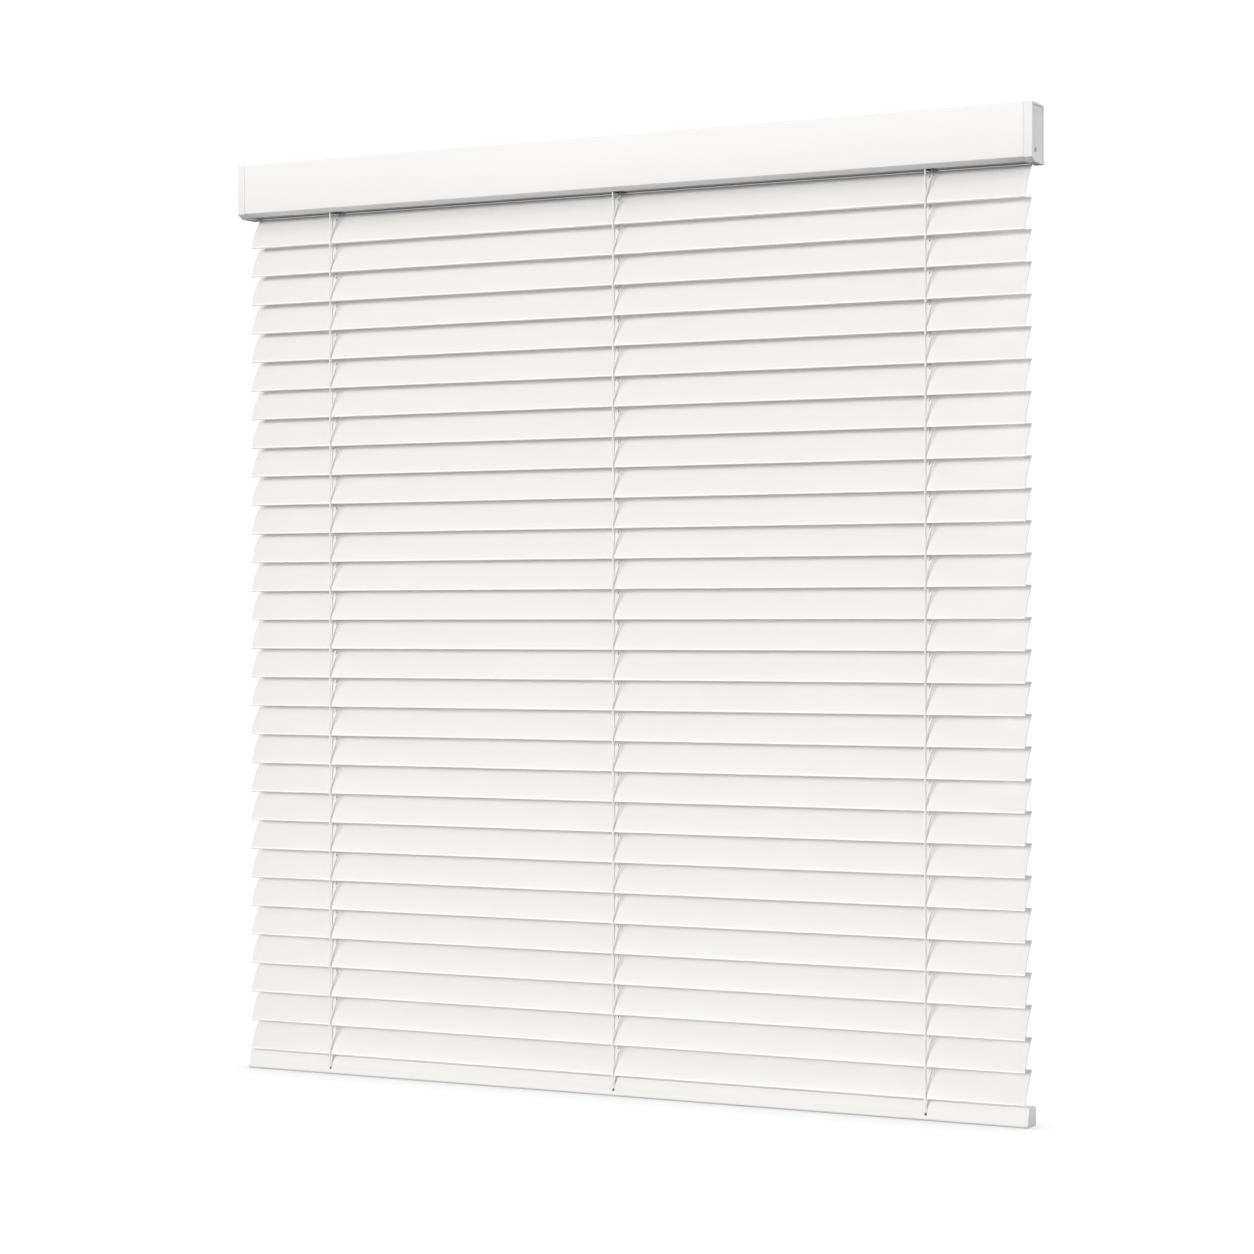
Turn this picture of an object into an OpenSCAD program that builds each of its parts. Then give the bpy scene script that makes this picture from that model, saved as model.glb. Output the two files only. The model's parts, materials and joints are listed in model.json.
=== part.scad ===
// Venetian blind with curved slats, hung from ceiling brackets.
// +Z is up and -Y faces the room. The origin is the middle bracket's screw line, on the ceiling.
// Slats are drawn closed, with their room-side edge down.

/* [Blind] */
// Width of the headrail over its end caps
blind_w = 1214; // [700:1:1800]
// Number of slats
slat_count = 29; // [12:1:29]
// Distance between neighbouring slats
pitch = 41.2; // [41:0.1:42.5]
// Height of the first slat's pivot line, measured down from the ceiling
first_slat_drop = 97.5; // [97.5:0.5:110]
// Distance from the middle ladder to each outer ladder
ladder_x = 456.5; // [280:0.5:620]

/* [Slats] */
// Slat width across the chord
slat_w = 50; // [49:0.5:50.5]
// Slat thickness
slat_t = 2.8; // [2.4:0.1:3]
// Height of the slat's crown above its chord
slat_crown = 3; // [2:0.1:4]
// Distance from a slat's end to the end of the headrail
slat_inset = 14.5; // [12.5:0.5:30]
// Closed angle of the slats from level
closed_angle = 61; // [50:1:62]
// Length of a cord slot across the slat
slot_len = 10.6; // [9.6:0.2:12]
// Width of a cord slot
slot_w = 3.2; // [2.6:0.1:5]
// Distance of the cord slots behind the slat's middle
slot_back = 17; // [15:0.5:17.5]

/* [Cords] */
// Diameter of the ladder cords and the lift cords
cord_d = 1.4; // [1:0.1:1.4]
// Half the length of a ladder rung
rung_reach = 29.7; // [29.6:0.1:31]

/* [Headrail] */
// Room-side face of the fascia, ahead of the slats' pivot line
fascia_y = 27; // [26.5:0.1:28]
// Height of the fascia's flat front
fascia_h = 69.5; // [68:0.5:70]
// Thickness of the fascia
fascia_t = 1.6; // [1.2:0.1:2]
// Wall of the steel channel
channel_t = 1.2; // [0.8:0.1:1.4]
// Width of an end cap's rim, seen from the front
cap_rim = 11.5; // [9:0.5:16]
// Distance from the middle bracket to each outer bracket
bracket_x = 520; // [330:1:560]
// Diameter of the bracket's screw holes
screw_d = 5; // [4:0.1:5.5]
// Distance between a bracket's two screw holes
screw_gap = 32; // [28:1:34]

/* [Bottom rail] */
// Height of the bottom rail
rail_h = 24.8; // [24:0.1:26]
// Depth of the bottom rail at its base
rail_d = 31.8; // [31:0.1:33]
// Distance from the rail's end to the end of the headrail
rail_inset = 10.4; // [9:0.1:20]
// Wall of the bottom rail
rail_t = 1.6; // [1.2:0.1:2]
// Gap between the last slat's pivot line and the top of the bottom rail
rail_gap = 24.1; // [22.9:0.1:30]

/* [Hidden] */
$fn = 64;
two_digits = [for (i = [1:slat_count]) i < 10 ? str("0", i) : str(i)];
slat_names = [for (name = two_digits) str("slat_", name)];

white = [0.95, 0.94, 0.92];
cord_white = [0.9, 0.9, 0.88];
steel = [0.72, 0.73, 0.75];
grey_plastic = [0.45, 0.47, 0.5];
pale_plastic = [0.85, 0.85, 0.84];

half_w = blind_w / 2;
ladders = [-ladder_x, 0, ladder_x];
cord_r = cord_d / 2;
air = 0.06;         // radial running clearance of a pin in its bore
over = 1;           // how far a cutter runs past the face it cuts

// Slat geometry, in the slat's own section: u runs back along the chord, v along the crown's normal
slat_r = (slat_w * slat_w / 4 + slat_crown * slat_crown) / (2 * slat_crown);
slat_len = blind_w - 2 * slat_inset;
edge_r = slat_t / 2;
edge_angle = asin((slat_w / 2 - edge_r) / (slat_r + edge_r));
slot_v = sqrt(pow(slat_r + edge_r, 2) - slot_back * slot_back) - slat_r + slat_crown;

function slat_z(i) = -first_slat_drop - i * pitch;
// A point of the slat's section, turned to the closed angle, as [y, z] from the pivot line
function closed(u, v) = [u * cos(closed_angle) - v * sin(closed_angle),
                         u * sin(closed_angle) + v * cos(closed_angle)];
front_hold = closed(-rung_reach, edge_r);
back_hold = closed(rung_reach, edge_r);
slot_hold = closed(slot_back, slot_v);
last_z = slat_z(slat_count - 1);

// Headrail: the steel channel stands 0.2 behind the fascia and its foot follows the fascia's sloping lip
channel_front = fascia_t - fascia_y + 0.2;
channel_back = 16.5;
channel_top = -1.7;
channel_base = -fascia_h - 3.6;
channel_len = blind_w - 2 * cap_rim - 0.4;
channel_mid = (channel_front + channel_back) / 2;
chamfer_y = -16.5;
chamfer_z = channel_base + 4.7;
lip_w = 6;
lip_end_y = -17;
lip_end_z = channel_base - 1.8;
cap_base = channel_base - 2.9;
cap_back = 15;
cap_foot_back = 18;
cap_recess = 1.2;
cap_screw_y = -13.3;
cap_screw_z = cap_base + 16;

// Tilt gear
rod_y = -1.2;
rod_z = -50;
rod_r = 3.4;        // across the corners of the six-sided rod
hub_r = 5;
drum_x = 7.5;       // middle of the barrel, beside the ladder
drum_r = 12;
drum_cord_r = 13.1;
flange_r = 14.8;
hub_left = -12;
hub_right = 17;

// Lift gear
cord_run_z = [-18, -20.5, -18];
turn_r = 4;
guide_r = 3;
motor_x = [180, 290];
motor_y = [-20, 12];
motor_z = [-41.5, -10];
motor_t = 1.5;
lift_drum_x = 215;
lift_drum_y = -4;
lift_drum_r = 8.6;
lift_cord_r = slot_hold[0] - lift_drum_y;
spring_x = 262;

// Brackets
plate_t = 1.5;
plate_w = 48;
latch_r = 18;
latch_pin_r = 2.5;
rivet_r = 4;
rivet_sink = 0.7;

// Bottom rail
rail_top = last_z - rail_gap;
rail_base = rail_top - rail_h;
rail_front = -17;
rail_back = rail_front + rail_d;
rail_top_front = -8;
rail_len = blind_w - 2 * rail_inset - 6;
rail_round = 3;
rail_cap_t = 3;
cord_hole_z = rail_base + 9.5;
button_hole_r = 8;
button_y = 2;
face_slope = (rail_top_front - rail_front) / rail_h;
function rail_face(z) = rail_front + (z - rail_base) * face_slope;

// A straight round cord from a up to b, for cords that hang plumb
module strand(a, b) {
    translate(a) cylinder(r = cord_r, h = b[2] - a[2], $fn = 24);
}

function unit(v) = v / norm(v);
function heading(p, k) = unit((k < len(p) - 1 ? unit(p[k + 1] - p[k]) : [0, 0, 0])
                              + (k > 0 ? unit(p[k] - p[k - 1]) : [0, 0, 0]));

// A cord through a list of points, as one eight-sided tube; across is a direction it never runs along
module cord(p, across) {
    sides = 8;
    rings = [for (k = [0:len(p) - 1])
        let (t = heading(p, k), n = unit(cross(t, across)), m = cross(t, n))
            for (a = [0:sides - 1]) p[k] + cord_r * (cos(a * 360 / sides) * n + sin(a * 360 / sides) * m)];
    walls = [for (k = [0:len(p) - 2], a = [0:sides - 1])
        let (b = (a + 1) % sides) [k * sides + a, (k + 1) * sides + a, (k + 1) * sides + b, k * sides + b]];
    first = [for (a = [0:sides - 1]) a];
    last = [for (a = [sides - 1:-1:0]) (len(p) - 1) * sides + a];
    polyhedron(points = rings, faces = concat(walls, [first], [last]), convexity = 10);
}

// Extrudes a [y, z] outline along X, from x0 to x1
module along_x(x0, x1) {
    translate([x0, 0, 0]) rotate([90, 0, 90]) linear_extrude(height = x1 - x0) children();
}

// ---- slats ----

module slat_section() {
    translate([0, slat_crown - slat_r]) {
        intersection() {
            difference() {
                circle(r = slat_r + slat_t, $fn = 720);
                circle(r = slat_r, $fn = 720);
            }
            polygon([[0, 0], [-2 * slat_r * sin(edge_angle), 2 * slat_r * cos(edge_angle)],
                     [2 * slat_r * sin(edge_angle), 2 * slat_r * cos(edge_angle)]]);
        }
        for (side = [-1, 1])
            translate([side * (slat_r + edge_r) * sin(edge_angle), (slat_r + edge_r) * cos(edge_angle)])
                circle(r = edge_r - 0.01, $fn = 32);
    }
}

module slot_outline() {
    straight = (slot_len - slot_w) / 2;
    for (side = [-1, 1]) translate([0, slot_back + side * straight]) circle(r = slot_w / 2, $fn = 24);
    translate([-slot_w / 2, slot_back - straight]) square([slot_w, 2 * straight]);
}

module slat(i) {
    color(white) translate([0, 0, slat_z(i)]) rotate([closed_angle, 0, 0]) difference() {
        along_x(-slat_len / 2, slat_len / 2) slat_section();
        for (x = ladders) translate([x, 0, -over]) linear_extrude(height = 10) slot_outline();
    }
}

// ---- headrail ----

module channel_outline() {
    slope_y = channel_t * 0.475;
    slope_z = channel_t * 0.88;
    difference() {
        polygon([[channel_front, channel_top], [channel_front, chamfer_z], [chamfer_y, channel_base],
                 [channel_back, channel_base], [channel_back, channel_top]]);
        polygon([[channel_front + channel_t, channel_top - channel_t],
                 [channel_front + channel_t, chamfer_z + slope_z - 0.3],
                 [chamfer_y + slope_y, channel_base + channel_t],
                 [channel_back - channel_t, channel_base + channel_t],
                 [channel_back - channel_t, channel_top - channel_t]]);
        translate([channel_front + channel_t + lip_w, channel_top - 2 * channel_t])
            square([channel_back - channel_front - 2 * (channel_t + lip_w), 3 * channel_t]);
    }
}

module headrail_channel() {
    outlet = [[-8.2, -17.6], [8.2, 15]];
    color(steel) difference() {
        along_x(-channel_len / 2, channel_len / 2) channel_outline();
        for (x = ladders)
            translate([x + outlet[0][0], outlet[0][1], channel_base - over])
                cube([outlet[1][0] - outlet[0][0], outlet[1][1] - outlet[0][1], 6]);
    }
}

module fascia_outline() {
    return_y = -20;
    polygon([[-fascia_y, 0], [-fascia_y, -fascia_h], [lip_end_y, lip_end_z], [lip_end_y, channel_base],
             [-fascia_y + fascia_t, chamfer_z - 0.15], [-fascia_y + fascia_t, -fascia_t],
             [return_y, -fascia_t], [return_y, 0]]);
}

module fascia() {
    color(white) along_x(-channel_len / 2, channel_len / 2) fascia_outline();
}

// Outline of an end cap: the fascia's front and sloping foot, and a rounded back with a foot flange
module cap_outline(inside) {
    foot_r = 3;
    difference() {
        union() {
            polygon([[-fascia_y + inside, -inside], [-fascia_y + inside, -fascia_h - 0.6 + inside * 0.5],
                     [-16.5 + inside * 0.5, cap_base + inside], [cap_back - inside, cap_base + inside],
                     [cap_back - inside, -inside]]);
            if (inside == 0) {
                translate([0, cap_base]) square([cap_foot_back - foot_r, foot_r]);
                translate([cap_foot_back - foot_r, cap_base + foot_r]) circle(r = foot_r);
            }
        }
        if (inside == 0) translate([cap_back - 2, -2]) difference() {
            square([3, 3]);
            circle(r = 2);
        }
    }
}

module end_cap(side) {
    plate = 2.5;
    rim = 3;
    hollow_rim = 4;
    plug_len = 9;
    plug_h = 54;
    plug_gap = 0.4;
    color(pale_plastic) mirror([side < 0 ? 1 : 0, 0, 0]) difference() {
        union() {
            along_x(half_w - cap_rim, half_w) cap_outline(0);
            translate([half_w - cap_rim - plug_len, channel_front + channel_t + plug_gap, channel_base + 8])
                cube([plug_len + 1, channel_back - channel_front - 2 * (channel_t + plug_gap), plug_h]);
        }
        along_x(half_w - cap_rim - plug_len - over, half_w - plate) cap_outline(hollow_rim);
        along_x(half_w - cap_recess, half_w + over) cap_outline(rim);
        translate([half_w - cap_rim, cap_screw_y, cap_screw_z]) rotate([0, 90, 0])
            cylinder(r = 1.6, h = cap_rim + over, $fn = 32);
    }
}

module cap_screws() {
    shank_r = 1.55;
    shank_len = 9;
    head_r = 3.1;
    head_h = 1.1;
    cross_len = 4;
    cross_w = 0.8;
    color(steel) for (side = [-1, 1]) mirror([side < 0 ? 1 : 0, 0, 0])
        translate([half_w - cap_recess, cap_screw_y, cap_screw_z]) rotate([0, 90, 0]) difference() {
            union() {
                translate([0, 0, -shank_len]) cylinder(r = shank_r, h = shank_len + 0.5, $fn = 32);
                cylinder(r = head_r, h = head_h, $fn = 32);
            }
            for (a = [0, 90]) rotate([0, 0, a]) translate([-cross_len / 2, -cross_w / 2, 0.5])
                cube([cross_len, cross_w, head_h]);
        }
}

// ---- brackets ----

module bracket_plate(x) {
    front = -19.5;
    tab_y = channel_back + 0.3;
    tab_h = 12;
    translate([x - plate_w / 2, front, -plate_t]) cube([plate_w, tab_y + plate_t - front, plate_t]);
    translate([x - plate_w / 2, tab_y, -tab_h]) cube([plate_w, plate_t, tab_h]);
}

module screw_holes(x) {
    for (side = [-1, 1]) translate([x + side * screw_gap / 2, 0, -plate_t - over])
        cylinder(d = screw_d, h = plate_t + 2 * over);
}

module bracket(x, has_latch) {
    color(steel) difference() {
        bracket_plate(x);
        screw_holes(x);
        if (has_latch) translate([x, channel_mid, 0]) {
            translate([0, 0, -plate_t - over]) cylinder(r = latch_pin_r + air, h = plate_t + 2 * over);
            translate([0, 0, -rivet_sink]) cylinder(r = rivet_r + 0.3, h = 2);
        }
    }
}

// A turning plate that reaches under both lips of the channel and lets it go when turned lengthwise
module latch(x) {
    plate_top = -3.1;
    plate_h = 1.5;
    wide = 14;
    pin_h = 3;
    head_h = 0.5;
    finger_gap = 3;
    finger = [2.4, 8, 5.5];
    color(steel) translate([x, channel_mid, 0]) {
        intersection() {
            translate([0, 0, plate_top - plate_h]) cylinder(r = latch_r, h = plate_h);
            translate([-wide / 2, -latch_r - over, plate_top - plate_h - over])
                cube([wide, 2 * (latch_r + over), plate_h + 2 * over]);
        }
        translate([0, 0, plate_top - 0.1]) cylinder(r = latch_pin_r, h = pin_h);
        translate([0, 0, -rivet_sink + 0.08]) cylinder(r = rivet_r, h = head_h);
        translate([-finger[0] / 2, finger_gap - latch_r, plate_top - plate_h - finger[2] + 0.5])
            cube(finger);
    }
}

// ---- tilt gear ----

module tilt_rod() {
    color(steel) translate([0, rod_y, rod_z]) rotate([0, 90, 0])
        cylinder(r = rod_r, h = channel_len - 60, center = true, $fn = 6);
}

module along(x0, x1, r, sides) {
    translate([x0, rod_y, rod_z]) rotate([0, 90, 0]) cylinder(r = r, h = x1 - x0, $fn = sides);
}

module tilt_drum(x) {
    half_barrel = 4;
    rim = 1;
    color(pale_plastic) translate([x, 0, 0]) difference() {
        union() {
            along(hub_left, hub_left + 2.1, hub_r, 64);
            along(hub_left + 2, drum_x - half_barrel, 4.2, 64);
            along(drum_x - half_barrel - rim, drum_x + half_barrel + rim, drum_r, 64);
            along(drum_x - half_barrel - rim, drum_x - half_barrel, flange_r, 64);
            along(drum_x + half_barrel, drum_x + half_barrel + rim, flange_r, 64);
            along(drum_x + half_barrel, hub_right, hub_r, 64);
        }
        along(hub_left - over, hub_right + over, rod_r + 0.08, 6);
    }
}

// Carries a drum in two walls, guides the lift cord over a peg and lines the channel's cord outlet
module cradle(x, turn) {
    floor_z = channel_base + channel_t + 0.1;
    foot = [40, 31, 2];
    foot_y = -16.2;
    floor_top = floor_z + foot[2];
    tongue = [12, 31.6, floor_z - channel_base + over];
    tongue_y = -17;
    tongue_drop = 0.6;
    slit = [5, 32.6, 6];
    wall_t = 2;
    wall_y = [-12, 10];
    wall_top = -41;
    post_y = 9;
    post_t = 2;
    post_w = 13.5;
    head_z = -33;
    head = [20, post_t, 21];
    peg_len = 7;
    washer_y = 2.6;
    peg_z = cord_run_z[x < 0 ? 0 : x > 0 ? 2 : 1] - turn_r;
    color(grey_plastic) translate([x, 0, 0]) difference() {
        union() {
            translate([-foot[0] / 2, foot_y, floor_z]) cube(foot);
            translate([-tongue[0] / 2, tongue_y, channel_base - tongue_drop]) cube(tongue);
            for (wall_x = [hub_left, hub_right - wall_t])
                translate([wall_x, wall_y[0], floor_top - 0.1])
                    cube([wall_t, wall_y[1] - wall_y[0], wall_top - floor_top]);
            translate([hub_left, post_y, floor_top - 0.1]) cube([post_w, post_t, head_z + 3 - floor_top]);
            translate([-head[0] / 2, post_y, head_z]) cube(head);
            translate([turn * turn_r, post_y + 0.5, peg_z]) rotate([90, 0, 0])
                cylinder(r = guide_r, h = peg_len);
            translate([turn * turn_r, washer_y, peg_z]) rotate([90, 0, 0])
                cylinder(r = guide_r + 1.6, h = over);
        }
        translate([-slit[0] / 2, tongue_y - over, channel_base - over]) cube(slit);
        along(hub_left - over, hub_left + 3, hub_r + air, 64);
        along(hub_right - 3, hub_right + over, hub_r + air, 64);
    }
}

// Spring-loaded shoe housing that holds the tilt rod where it is left
module tilt_brake() {
    brake_x = -250;
    size = [34, 26, 25];
    foot = [48, 28, 9.3];
    pocket_wall = 3;
    pocket_floor = 3.6;
    color(grey_plastic) translate([brake_x, rod_y, rod_z]) difference() {
        union() {
            translate(-size / 2) cube(size);
            translate([-foot[0] / 2, -15, channel_base - rod_z + channel_t + 0.1]) cube(foot);
        }
        rotate([0, 90, 0]) cylinder(r = rod_r + 0.1, h = foot[0] + 2 * over, center = true);
        translate([-size[0] / 2 + pocket_wall, -size[1] / 2 + pocket_wall, pocket_floor])
            cube([size[0] - 2 * pocket_wall, size[1] - 2 * pocket_wall, size[2]]);
    }
}

// ---- lift gear ----

module lift_motor_case() {
    cord_y = slot_hold[0];
    right_hole_y = -7.5;
    color(grey_plastic) difference() {
        union() {
            difference() {
                translate([motor_x[0], motor_y[0], motor_z[0]])
                    cube([motor_x[1] - motor_x[0], motor_y[1] - motor_y[0], motor_z[1] - motor_z[0]]);
                translate([motor_x[0] + motor_t, motor_y[0] + motor_t, motor_z[0] + motor_t])
                    cube([motor_x[1] - motor_x[0] - 2 * motor_t, motor_y[1] - motor_y[0] - 2 * motor_t, 60]);
            }
            translate([lift_drum_x, lift_drum_y, motor_z[0] + 0.5]) cylinder(r = 2.5, h = 30.5);
            translate([spring_x, lift_drum_y, motor_z[0] + 0.5]) cylinder(r = 4.6, h = 20);
        }
        translate([motor_x[0] - over, cord_y - 1.8, -23]) cube([4, 3.6, 7]);
        translate([motor_x[1] - 3, right_hole_y - 2, -20]) cube([4, 4, 4]);
    }
}

module lift_motor_lid() {
    rib_inset = 4;
    rib_w = 2;
    length = motor_x[1] - motor_x[0];
    depth = motor_y[1] - motor_y[0];
    color(grey_plastic) translate([motor_x[0], motor_y[0], motor_z[1]]) {
        cube([length, depth, motor_t]);
        for (rib_y = [motor_t + 0.2, depth - motor_t - 0.2 - rib_w])
            translate([rib_inset, rib_y, -rib_w]) cube([length - 2 * rib_inset, rib_w, rib_w + 0.1]);
    }
}

module lift_drum() {
    base = motor_z[0] + motor_t + 0.5;
    cord_zone = [-23.5, -14.5];
    core_r = 7;
    rim_r = 11.5;
    color(pale_plastic) translate([lift_drum_x, lift_drum_y, 0]) difference() {
        union() {
            translate([0, 0, base]) cylinder(r = core_r, h = cord_zone[0] - base);
            translate([0, 0, cord_zone[0] - 1]) cylinder(r = rim_r, h = 1);
            translate([0, 0, cord_zone[0] - 0.5])
                cylinder(r = lift_drum_r, h = cord_zone[1] - cord_zone[0] + 1);
            translate([0, 0, cord_zone[1]]) cylinder(r = rim_r, h = 1);
        }
        translate([0, 0, base - over]) cylinder(r = 2.5 + air, h = 40);
    }
}

module lift_spring() {
    coil = [5, 11];
    z0 = -38;
    band_h = 12;
    band_t = 0.5;
    band_start = 9.2;
    band_end = 7.6;
    run = spring_x - lift_drum_x;
    color(steel) translate([spring_x, lift_drum_y, z0]) linear_extrude(height = band_h) difference() {
        union() {
            circle(r = coil[1]);
            polygon([[0, band_start], [-run, band_end], [-run, band_end + band_t],
                     [0, band_start + band_t]]);
        }
        circle(r = coil[0]);
    }
}

// ---- cords ----

rest_gap = 0.5;      // between the cords that ride with the slats and their fixed ends
tail_gap = 25;       // how far above the last rung the riding cords stop
front_top = slat_z(0) + front_hold[1] - 4;
back_top = slat_z(0) + back_hold[1] - 4;
lift_top = slat_z(0) + slot_hold[1] + 4;
front_end = last_z + front_hold[1] + tail_gap;
back_end = last_z + back_hold[1] + tail_gap;
lift_end = last_z + slot_hold[1] + 12.5;

module front_cords() {
    color(cord_white) for (x = ladders)
        strand([x, front_hold[0], front_end], [x, front_hold[0], front_top]);
}

module back_cords() {
    color(cord_white) for (x = ladders)
        strand([x, back_hold[0], back_end], [x, back_hold[0], back_top]);
}

module lift_cords() {
    color(cord_white) for (x = ladders)
        strand([x, slot_hold[0], lift_end], [x, slot_hold[0], lift_top]);
}

// The cords' upper ends: ladder cords to the tilt drums, lift cords over the pegs to the lift drum
module cord_tops() {
    outlet_z = -70;
    across_y = [0, 1, 0];
    side_y = drum_cord_r + 0.3;
    color(cord_white) for (k = [0:2]) {
        x = ladders[k];
        turn = k == 2 ? -1 : 1;
        run_z = cord_run_z[k];
        run_y = k == 2 ? lift_drum_y - lift_cord_r : slot_hold[0];
        cord([[x, front_hold[0], front_top + rest_gap], [x, front_hold[0], outlet_z],
              [x + drum_x, rod_y - side_y, rod_z]], across_y);
        cord([[x, back_hold[0], back_top + rest_gap], [x, back_hold[0], outlet_z],
              [x + drum_x, rod_y + side_y, rod_z]], across_y);
        cord(concat([[x, slot_hold[0], lift_top + rest_gap]],
            [for (a = [0:30:90]) [x + turn * turn_r * (1 - cos(a)), slot_hold[0],
                                  run_z - turn_r + turn_r * sin(a)]],
            [[lift_drum_x, run_y, run_z]]), across_y);
    }
}

// The cords' lower ends, from the last slat into the bottom rail
module cord_tails() {
    face = rail_face(cord_hole_z);
    across_x = [1, 0, 0];
    beside = 0.75;
    color(cord_white) for (x = ladders) {
        cord([[x, front_hold[0], front_end - rest_gap], [x, front_hold[0], rail_top - 3],
              [x - beside, face - 1.2, cord_hole_z + 3], [x - beside, face + 1.5, cord_hole_z + 0.9],
              [x - beside, 0, cord_hole_z + 2]], across_x);
        cord([[x, slot_hold[0], lift_end - rest_gap], [x, slot_hold[0], rail_top + 3],
              [x, slot_hold[0] - 2.3, rail_top + 0.9], [x, rail_top_front - 0.6, rail_top + 0.95],
              [x + beside / 2, rail_face(rail_top - 2) - 1, rail_top - 2],
              [x + beside, face - 0.9, cord_hole_z + 2.2], [x + beside, face + 2, cord_hole_z + 0.2],
              [x + beside, -4, cord_hole_z + 2]], across_x);
        cord([[x, back_hold[0], back_end - rest_gap], [x, back_hold[0], rail_top + 14],
              [x, rail_back + 0.9, rail_top], [x, rail_back + 0.9, cord_hole_z + 1.5],
              [x, rail_back - 2, cord_hole_z + 0.2], [x, 8, cord_hole_z + 2]], across_x);
    }
}

// ---- bottom rail ----

module rail_outline(inside) {
    lean = atan(face_slope);
    corner = [rail_front + rail_round * (1 + sin(lean)) / cos(lean), rail_base + rail_round];
    arc_steps = 6;
    arc_step = (90 + lean) / arc_steps;
    top = rail_top - inside;
    polygon(concat(
        [for (k = [0:arc_steps]) corner + (rail_round - inside) * [cos(180 - lean + k * arc_step),
                                                                   sin(180 - lean + k * arc_step)]],
        [[rail_back - inside, rail_base + inside], [rail_back - inside, top],
         [rail_face(top) + inside / cos(lean), top]]));
}

module bottom_rail() {
    hole_w = 3.2;
    hole_h = 5;
    color(white) difference() {
        along_x(-rail_len / 2, rail_len / 2) difference() {
            rail_outline(0);
            rail_outline(rail_t);
        }
        for (x = ladders) {
            for (wall_y = [rail_front - over, rail_back - 4])
                translate([x - hole_w / 2, wall_y, cord_hole_z - hole_h / 2]) cube([hole_w, 9, hole_h]);
            translate([x, button_y, rail_base - over]) cylinder(r = button_hole_r, h = rail_t + 2 * over);
        }
    }
}

module rail_cap(side) {
    plug_len = 12;
    color(pale_plastic) mirror([side < 0 ? 1 : 0, 0, 0]) {
        along_x(rail_len / 2, rail_len / 2 + rail_cap_t) rail_outline(0);
        along_x(rail_len / 2 - plug_len, rail_len / 2 + 0.1) difference() {
            rail_outline(rail_t + 0.15);
            translate([-7, rail_base + 5]) square([18, rail_h - 10]);
        }
    }
}

module rail_buttons() {
    face_r = button_hole_r - 0.1;
    flange_r = button_hole_r + 1;
    flange_t = 1.2;
    stem_r = 3;
    stem_h = 4;
    color(pale_plastic) for (x = ladders) translate([x, button_y, rail_base]) {
        cylinder(r = face_r, h = rail_t + 0.1);
        translate([0, 0, rail_t + 0.05]) cylinder(r = flange_r, h = flange_t);
        translate([0, 0, rail_t]) cylinder(r = stem_r, h = stem_h);
    }
}

for (i = [0:slat_count - 1])
    slat(i);
headrail_channel();
fascia();
end_cap(-1);  // end_cap_left
end_cap(1);  // end_cap_right
cap_screws();
bracket(-bracket_x, true);  // bracket_left
bracket(0, false);  // bracket_middle
bracket(bracket_x, true);  // bracket_right
latch(-bracket_x);  // latch_left
latch(bracket_x);  // latch_right
cradle(-ladder_x, 1);  // cradle_left
cradle(0, 1);  // cradle_middle
cradle(ladder_x, -1);  // cradle_right
tilt_rod();
tilt_drum(-ladder_x);  // tilt_drum_left
tilt_drum(0);  // tilt_drum_middle
tilt_drum(ladder_x);  // tilt_drum_right
tilt_brake();
lift_motor_case();
lift_motor_lid();
lift_drum();
lift_spring();
front_cords();
back_cords();
lift_cords();
cord_tops();
cord_tails();
bottom_rail();
rail_cap(-1);  // rail_cap_left
rail_cap(1);  // rail_cap_right
rail_buttons();
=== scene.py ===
import bpy
import json
import math
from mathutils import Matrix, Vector


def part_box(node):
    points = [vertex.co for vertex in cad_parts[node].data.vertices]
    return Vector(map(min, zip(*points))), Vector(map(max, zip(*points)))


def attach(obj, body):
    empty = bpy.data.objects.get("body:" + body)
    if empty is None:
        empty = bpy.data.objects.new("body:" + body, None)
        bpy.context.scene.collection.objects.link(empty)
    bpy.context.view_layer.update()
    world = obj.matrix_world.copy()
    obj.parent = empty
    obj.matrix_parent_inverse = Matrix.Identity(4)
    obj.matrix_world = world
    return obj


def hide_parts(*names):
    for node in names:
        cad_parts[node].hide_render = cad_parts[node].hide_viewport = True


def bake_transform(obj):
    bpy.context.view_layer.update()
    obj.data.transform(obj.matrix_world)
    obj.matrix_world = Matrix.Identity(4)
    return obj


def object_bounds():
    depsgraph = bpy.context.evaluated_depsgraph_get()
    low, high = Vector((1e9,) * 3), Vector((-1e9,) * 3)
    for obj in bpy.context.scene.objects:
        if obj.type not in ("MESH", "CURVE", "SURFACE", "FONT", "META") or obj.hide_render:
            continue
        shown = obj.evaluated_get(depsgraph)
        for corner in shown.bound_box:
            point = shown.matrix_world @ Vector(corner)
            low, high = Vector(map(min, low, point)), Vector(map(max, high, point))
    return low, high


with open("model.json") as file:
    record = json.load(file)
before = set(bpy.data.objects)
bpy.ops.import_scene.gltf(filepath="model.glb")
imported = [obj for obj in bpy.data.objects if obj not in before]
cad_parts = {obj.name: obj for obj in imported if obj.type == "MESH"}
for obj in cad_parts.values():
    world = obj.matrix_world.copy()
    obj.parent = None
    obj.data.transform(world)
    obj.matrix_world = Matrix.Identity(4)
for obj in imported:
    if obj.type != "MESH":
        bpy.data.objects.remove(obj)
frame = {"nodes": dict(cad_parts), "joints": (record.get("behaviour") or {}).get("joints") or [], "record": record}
cadLow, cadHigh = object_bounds()
mm = 0.001
print("frame loaded")


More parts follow.
